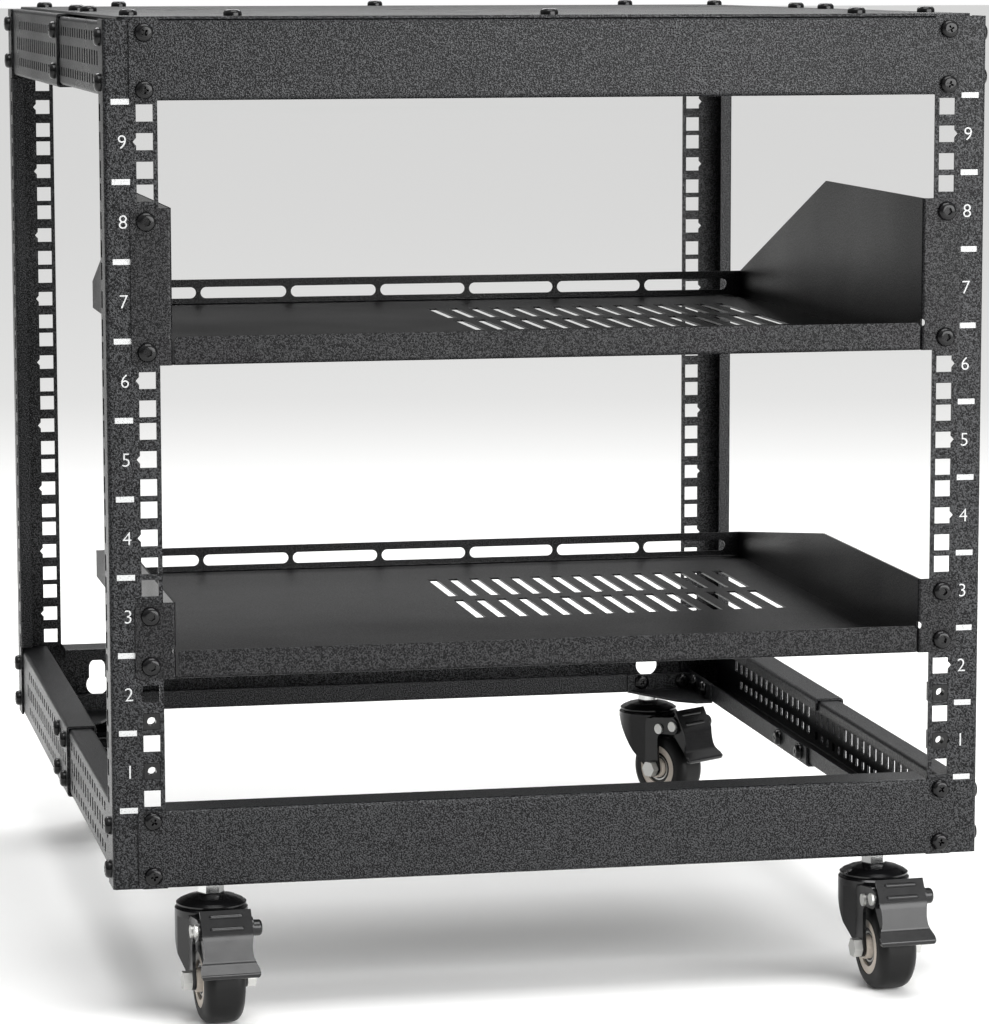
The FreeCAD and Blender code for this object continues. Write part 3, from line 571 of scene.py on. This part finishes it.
def scatter(name, source, places):
    """Copies of a screw at (place, outward) pairs, each left at its own turn by the driver."""
    turns = [math.radians(SCREW_TURN * i % CROSS_TURN) for i in range(len(places))]
    seats = [seat_at(place, outward, turn) for (place, outward), turn in zip(places, turns)]
    as_piece(name, copies(source, seats), "black_oxide_steel", "frame")


# --- where the screws are -----------------------------------------------------------------

def beam_screw_places(pattern):
    """Two screws at each end of each cross beam, where the square holes would go on."""
    lowest = BASE + pattern.first_unit
    hole = pattern.outer_hole
    steps = {
        "top": (pattern.units + hole, pattern.units + 1 - hole),
        "bottom": (-hole, hole - 1),
    }
    places = []
    for end, outward in (("front", -1), ("rear", 1)):
        for level in LEVELS:
            low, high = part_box("beam_" + end + "_" + level)
            face = low.y if end == "front" else high.y
            for side in (-1, 1):
                for step in steps[level]:
                    height = lowest + step * pattern.rack_unit
                    places.append(((side * pattern.hole_line, face, height), (0, outward, 0)))
    return places


def rail_pair(face, along, box, side, spacing):
    """The two screws of one column, below and above the middle of a rail's web."""
    middle = (box[0].z + box[1].z) / 2
    return [((face, along, height), (side, 0, 0)) for height in (middle - spacing, middle + spacing)]


def rail_screw_places(sizes):
    """Screws through the posts' sides into the rails' ends, then those at the rails' seams."""
    places = []
    for side_name, side in SIDES:
        for level in LEVELS:
            for end in ("front", "rear"):
                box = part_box("_".join(("rail", side_name, level, end)))
                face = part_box("post_" + end + "_" + side_name)[side > 0].x
                along = FRONT + sizes.end_screw if end == "front" else REAR - sizes.end_screw
                places += rail_pair(face, along, box, side, sizes.row_spacing)
    for side_name, side in SIDES:
        for level in LEVELS:
            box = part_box("_".join(("rail", side_name, level, "rear")))
            columns = [FRONT + sizes.seam_screw]
            if level == "bottom":
                columns.append(columns[0] + sizes.seam_step)
            for along in columns:
                places += rail_pair(box[side > 0].x, along, box, side, sizes.row_spacing)
    return places


def cover_screw_places(cover):
    """Three screws at each end of the cover and four along each side."""
    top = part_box("top_cover")[1].z
    along = (FRONT + cover.corner, FRONT + cover.inner, REAR - cover.inner, REAR - cover.corner)
    spots = [(i * cover.front_step, FRONT + cover.setback) for i in (-1, 0, 1)]
    spots += [(i * cover.rear_step, REAR - cover.setback) for i in (-1, 0, 1)]
    spots += [(side * cover.side_line, y) for side in (-1, 1) for y in along]
    return [((x, y, top), (0, 0, 1)) for x, y in spots]


def shelf_screw_places(hole_line, margin):
    """Two screws in each ear of each shelf, on the line of the square holes."""
    places = []
    for shelf in ("shelf_upper", "shelf_lower"):
        low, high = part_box(shelf)
        for side in (-1, 1):
            for height in (low.z + margin, high.z - margin):
                places.append(((side * hole_line, low.y, height), (0, -1, 0)))
    return places


def brace_screw_places(brace):
    """Screws in the flanges of the corner braces and in the lips of the bottom rails."""
    height = BASE + brace.rise
    places = []
    for side in (-1, 1):
        inward = (-side, 0, 0)
        for x in (brace.beam_near, brace.beam_far):
            places.append(((side * x, FRONT + brace.beam_face, height), (0, 1, 0)))
            places.append(((side * x, REAR - brace.beam_face, height), (0, -1, 0)))
        for y in (brace.rail_near, brace.rail_far):
            places.append(((side * brace.front_face, FRONT + y, height), inward))
            places.append(((side * brace.rear_face, REAR - y, height), inward))
        for y in (brace.lip_near, brace.lip_far):
            places.append(((side * brace.lip_face, FRONT + y, height), inward))
    return places


# --- the steps, in the order in which they are run ----------------------------------------

class RACK_OT_sheet_metal(Operator):
    """Powder coat on the posts, beams, rails, cover, braces and shelves"""
    bl_idname = "rack.sheet_metal"
    bl_label = "Sheet metal finishes"

    def execute(self, context):
        make_finishes(context.scene.rack_colours, context.scene.rack_casters)
        for node in frame["nodes"]:
            if node.startswith(("post", "beam", "rail", "top_cover", "corner_braces")):
                dress(node, "sand_texture_powder_coat")
            elif node.startswith("shelf"):
                dress(node, "semi_gloss_powder_coat")
        dress("cage_nuts", "black_oxide_steel")
        return {"FINISHED"}


class RACK_OT_casters(Operator):
    """Enamel, zinc, nylon and rubber on the casters"""
    bl_idname = "rack.casters"
    bl_label = "Caster finishes"

    def execute(self, context):
        for corner in CORNERS:
            stem = "caster_" + corner
            dress(stem + "_mount", "enamelled_cup_and_zinc_stem")
            dress(stem + "_fork", "black_gloss_enamel")
            dress(stem + "_pedal", "black_gloss_enamel")
            dress(stem + "_pins", "zinc_plated_steel")
            dress(stem + "_wheel", "moulded_nylon")
            dress(stem + "_tyre", "tyre_rubber")
        return {"FINISHED"}


class RACK_OT_bearings(Operator):
    """Shields and steel rings of the wheel bearings, in the recesses of the hubs"""
    bl_idname = "rack.bearings"
    bl_label = "Wheel bearings"

    def execute(self, context):
        sizes = context.scene.rack_casters
        shield = ring(sizes.shield_inner, sizes.shield_outer, sizes.shield_low, sizes.shield_high)
        race = ring(sizes.race_inner, sizes.race_outer, sizes.shield_low, sizes.race_high)
        joints = {joint["name"]: joint for joint in frame["joints"]}
        for corner in CORNERS:
            axle = joints[corner + "_wheel_spin"]
            along = Vector(axle["axis"])
            seats = [seat_at(Vector(axle["pos_m"]), along * side) for side in (-1, 1)]
            body = "wheel_" + corner
            stem = "caster_" + corner
            as_piece(stem + "_shields", copies(shield, seats), "bearing_shield", body)
            as_piece(stem + "_races", copies(race, seats), "zinc_plated_steel", body)
        return {"FINISHED"}


class RACK_OT_beam_screws(Operator):
    """Cross-recessed screws that hold the beams to the posts"""
    bl_idname = "rack.beam_screws"
    bl_label = "Beam screws"

    def execute(self, context):
        places = beam_screw_places(context.scene.rack_pattern)
        scatter("beam_screws", pan_head(context.scene.rack_screws), places)
        return {"FINISHED"}


class RACK_OT_rail_screws(Operator):
    """Cross-recessed screws that hold the rails to the posts and to each other"""
    bl_idname = "rack.rail_screws"
    bl_label = "Rail screws"

    def execute(self, context):
        sizes = context.scene.rack_screws
        scatter("rail_screws", pan_head(sizes), rail_screw_places(sizes))
        return {"FINISHED"}


class RACK_OT_cover_screws(Operator):
    """Cross-recessed screws round the edge of the top cover"""
    bl_idname = "rack.cover_screws"
    bl_label = "Cover screws"

    def execute(self, context):
        places = cover_screw_places(context.scene.rack_cover_screws)
        scatter("cover_screws", pan_head(context.scene.rack_screws), places)
        return {"FINISHED"}


class RACK_OT_shelf_screws(Operator):
    """Hexagon-socket button screws that hold the shelves' ears to the posts"""
    bl_idname = "rack.shelf_screws"
    bl_label = "Shelf screws"

    def execute(self, context):
        sizes = context.scene.rack_screws
        places = shelf_screw_places(context.scene.rack_pattern.hole_line, sizes.ear_screw)
        scatter("shelf_screws", button_head(sizes), places)
        return {"FINISHED"}


class RACK_OT_brace_screws(Operator):
    """Cross-recessed screws in the flanges of the corner braces and in the bottom rails' lips"""
    bl_idname = "rack.brace_screws"
    bl_label = "Brace screws"

    def execute(self, context):
        places = brace_screw_places(context.scene.rack_brace_screws)
        scatter("brace_screws", pan_head(context.scene.rack_screws), places)
        return {"FINISHED"}


class RACK_OT_unit_marks(Operator):
    """Printed bars between the units and numbers beside them, on both front posts"""
    bl_idname = "rack.unit_marks"
    bl_label = "Unit marks"

    def numeral(self, text, sizes):
        """One printed number, centred on the origin and lying in the XZ plane."""
        curve = bpy.data.curves.new("numeral", "FONT")
        curve.body = text
        curve.size = sizes.numeral_height / DIGIT_SHARE
        curve.extrude = sizes.ink / 2
        curve.offset = -sizes.stroke
        curve.resolution_u = 4
        curve.align_x = "CENTER"
        curve.align_y = "CENTER"
        holder = bpy.data.objects.new("numeral", curve)
        bpy.context.scene.collection.objects.link(holder)
        mesh = evaluated_mesh(holder)
        bpy.data.objects.remove(holder)
        low = Vector([min(v.co[i] for v in mesh.vertices) for i in range(3)])
        high = Vector([max(v.co[i] for v in mesh.vertices) for i in range(3)])
        middle = (low + high) / 2
        mesh.transform(Matrix.Rotation(math.pi / 2, 4, "X") @ Matrix.Translation(-middle))
        return mesh

    def execute(self, context):
        pattern = context.scene.rack_pattern
        sizes = context.scene.rack_marks
        lowest = BASE + pattern.first_unit
        face = FRONT - sizes.ink / 2
        bar_size = (sizes.bar_length, sizes.ink, sizes.bar_height)
        numerals = [self.numeral(str(n + 1), sizes) for n in range(pattern.units)]
        for side_name, side in SIDES:
            printing = bmesh.new()
            for boundary in range(pattern.units + 1):
                bar = bmesh.ops.create_cube(printing, size=1.0)["verts"]
                bmesh.ops.scale(printing, verts=bar, vec=bar_size)
                spot = (side * sizes.bar_centre, face, lowest + boundary * pattern.rack_unit)
                bmesh.ops.translate(printing, verts=bar, vec=spot)
            for n, numeral in enumerate(numerals):
                spot = (side * sizes.numeral_centre, face, lowest + (n + 0.5) * pattern.rack_unit)
                add_copy(printing, numeral, Matrix.Translation(spot))
            mesh = as_mesh(printing, "marks")
            as_piece("unit_marks_" + side_name, mesh, "white_screen_ink", "frame")
        return {"FINISHED"}


class RACK_OT_stage(Operator):
    """Pale floor, soft lights and the camera"""
    bl_idname = "rack.stage"
    bl_label = "Stage"

    def lay_floor(self, scene, stage):
        """A plain floor at the foot of the tyres."""
        shape = bmesh.new()
        bmesh.ops.create_grid(shape, x_segments=1, y_segments=1, size=stage.floor_reach)
        mesh = as_mesh(shape, "studio_floor")
        paint = {"Base Color": hex_colour(scene.rack_colours.floor), "Roughness": 0.7}
        new_material("painted_studio_floor", paint)
        mesh.materials.append(bpy.data.materials["painted_studio_floor"])
        floor = bpy.data.objects.new("studio_floor", mesh)
        floor.location.z = CAD_BOX[0][2]
        scene.collection.objects.link(floor)

    def surround(self, scene, stage):
        """A white backdrop that lights the rack from above and leaves the horizon dim."""
        world = bpy.data.worlds.new("white_studio")
        scene.world = world
        world.use_nodes = True
        tree = world.node_tree
        tree.nodes.clear()
        place = add_node(tree, "ShaderNodeTexCoord")
        split = add_node(tree, "ShaderNodeSeparateXYZ", inputs={"Vector": place.outputs["Generated"]})
        rise = spread(tree, split.outputs["Z"], 0.05, 0.9, to_low=stage.horizon, to_high=stage.zenith)
        light, backdrop = (
            add_node(tree, "ShaderNodeBackground", inputs={"Color": WHITE, "Strength": strength})
            for strength in (rise, stage.backdrop)
        )
        seen = add_node(tree, "ShaderNodeLightPath")
        mixed = add_node(tree, "ShaderNodeMixShader", inputs={
            0: seen.outputs["Is Camera Ray"],
            1: light.outputs["Background"],
            2: backdrop.outputs["Background"],
        })
        add_node(tree, "ShaderNodeOutputWorld", inputs={"Surface": mixed.outputs["Shader"]})

    def softbox(self, name, place, target, size, watts):
        """An area light aimed at a target, which the camera doesn't see."""
        light = bpy.data.lights.new(name, "AREA")
        light.shape = "RECTANGLE"
        light.size, light.size_y = size
        light.energy = watts
        holder = bpy.data.objects.new(name, light)
        holder.location = place
        holder.rotation_euler = (Vector(target) - Vector(place)).to_track_quat("-Z", "Y").to_euler()
        holder.visible_camera = False
        bpy.context.scene.collection.objects.link(holder)

    def light_rack(self, stage):
        """Softboxes before the rack, beside it, above it and behind it."""
        middle = (0.0, 0.0, 0.3)
        self.softbox(
            "key_softbox", place=(1.5, FRONT - 2.2, 1.05), target=(0.15, FRONT, 0.4),
            size=(3.0, 1.5), watts=stage.key_power,
        )
        self.softbox(
            "side_softbox", place=(-2.2, 0.4, 0.9), target=middle,
            size=(1.2, 1.0), watts=stage.fill_power,
        )
        self.softbox(
            "top_softbox", place=(0.1, FRONT - 0.5, 2.3), target=middle,
            size=(1.6, 1.2), watts=stage.top_power,
        )
        self.softbox(
            "back_softbox", place=(0.3, REAR + 1.2, 1.9), target=(0.0, 0.0, BASE + 0.5),
            size=(2.2, 0.9), watts=stage.back_power,
        )

    def place_camera(self, scene, stage):
        """The camera, placed from the foot of unit 1."""
        camera = bpy.data.cameras.new("camera")
        camera.sensor_width = stage.sensor
        camera.sensor_fit = "AUTO"
        camera.lens = stage.lens
        camera.clip_end = stage.sight
        holder = bpy.data.objects.new("camera", camera)
        aim = Euler((math.pi / 2 - stage.tilt, 0.0, -stage.heading)).to_matrix()
        aim = aim @ Matrix.Rotation(stage.roll, 3, "Z")
        foot = Vector((0.0, FRONT, BASE + scene.rack_pattern.first_unit))
        holder.location = foot + Vector(stage.stand)
        holder.rotation_euler = aim.to_euler()
        scene.collection.objects.link(holder)
        scene.camera = holder

    def execute(self, context):
        scene = context.scene
        scene.view_settings.view_transform = "Standard"
        self.lay_floor(scene, scene.rack_stage)
        self.surround(scene, scene.rack_stage)
        self.light_rack(scene.rack_stage)
        self.place_camera(scene, scene.rack_stage)
        return {"FINISHED"}


OPERATORS = (
    RACK_OT_sheet_metal, RACK_OT_casters, RACK_OT_bearings, RACK_OT_beam_screws,
    RACK_OT_rail_screws, RACK_OT_cover_screws, RACK_OT_shelf_screws, RACK_OT_brace_screws,
    RACK_OT_unit_marks, RACK_OT_stage,
)

SETTINGS = (
    ("rack_pattern", RackPatternSettings), ("rack_screws", RackScrewSettings),
    ("rack_cover_screws", RackCoverScrewSettings), ("rack_brace_screws", RackBraceScrewSettings),
    ("rack_casters", RackCasterSettings), ("rack_marks", RackMarkSettings),
    ("rack_colours", RackColourSettings), ("rack_stage", RackStageSettings),
)


# --- panel and registration ---------------------------------------------------------------

class RACK_PT_panel(Panel):
    """Lists the settings, and the rack's steps in the order in which they are run"""
    bl_idname = "RACK_PT_panel"
    bl_label = "Open Frame Rack"
    bl_space_type = "VIEW_3D"
    bl_region_type = "UI"
    bl_category = "Rack"

    def draw(self, context):
        for group, kind in SETTINGS:
            box = self.layout.box()
            for name in kind.__annotations__:
                box.prop(getattr(context.scene, group), name)
        for step in OPERATORS:
            self.layout.operator(step.bl_idname)


def register():
    for name, kind in SETTINGS:
        bpy.utils.register_class(kind)
        setattr(bpy.types.Scene, name, PointerProperty(type=kind))
    for kind in OPERATORS + (RACK_PT_panel,):
        bpy.utils.register_class(kind)


def unregister():
    for kind in (RACK_PT_panel,) + OPERATORS[::-1]:
        bpy.utils.unregister_class(kind)
    for name, kind in SETTINGS[::-1]:
        delattr(bpy.types.Scene, name)
        bpy.utils.unregister_class(kind)


def main():
    """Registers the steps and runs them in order."""
    register()
    for step in OPERATORS:
        group, name = step.bl_idname.split(".")
        getattr(getattr(bpy.ops, group), name)()


if __name__ == "__main__":
    main()
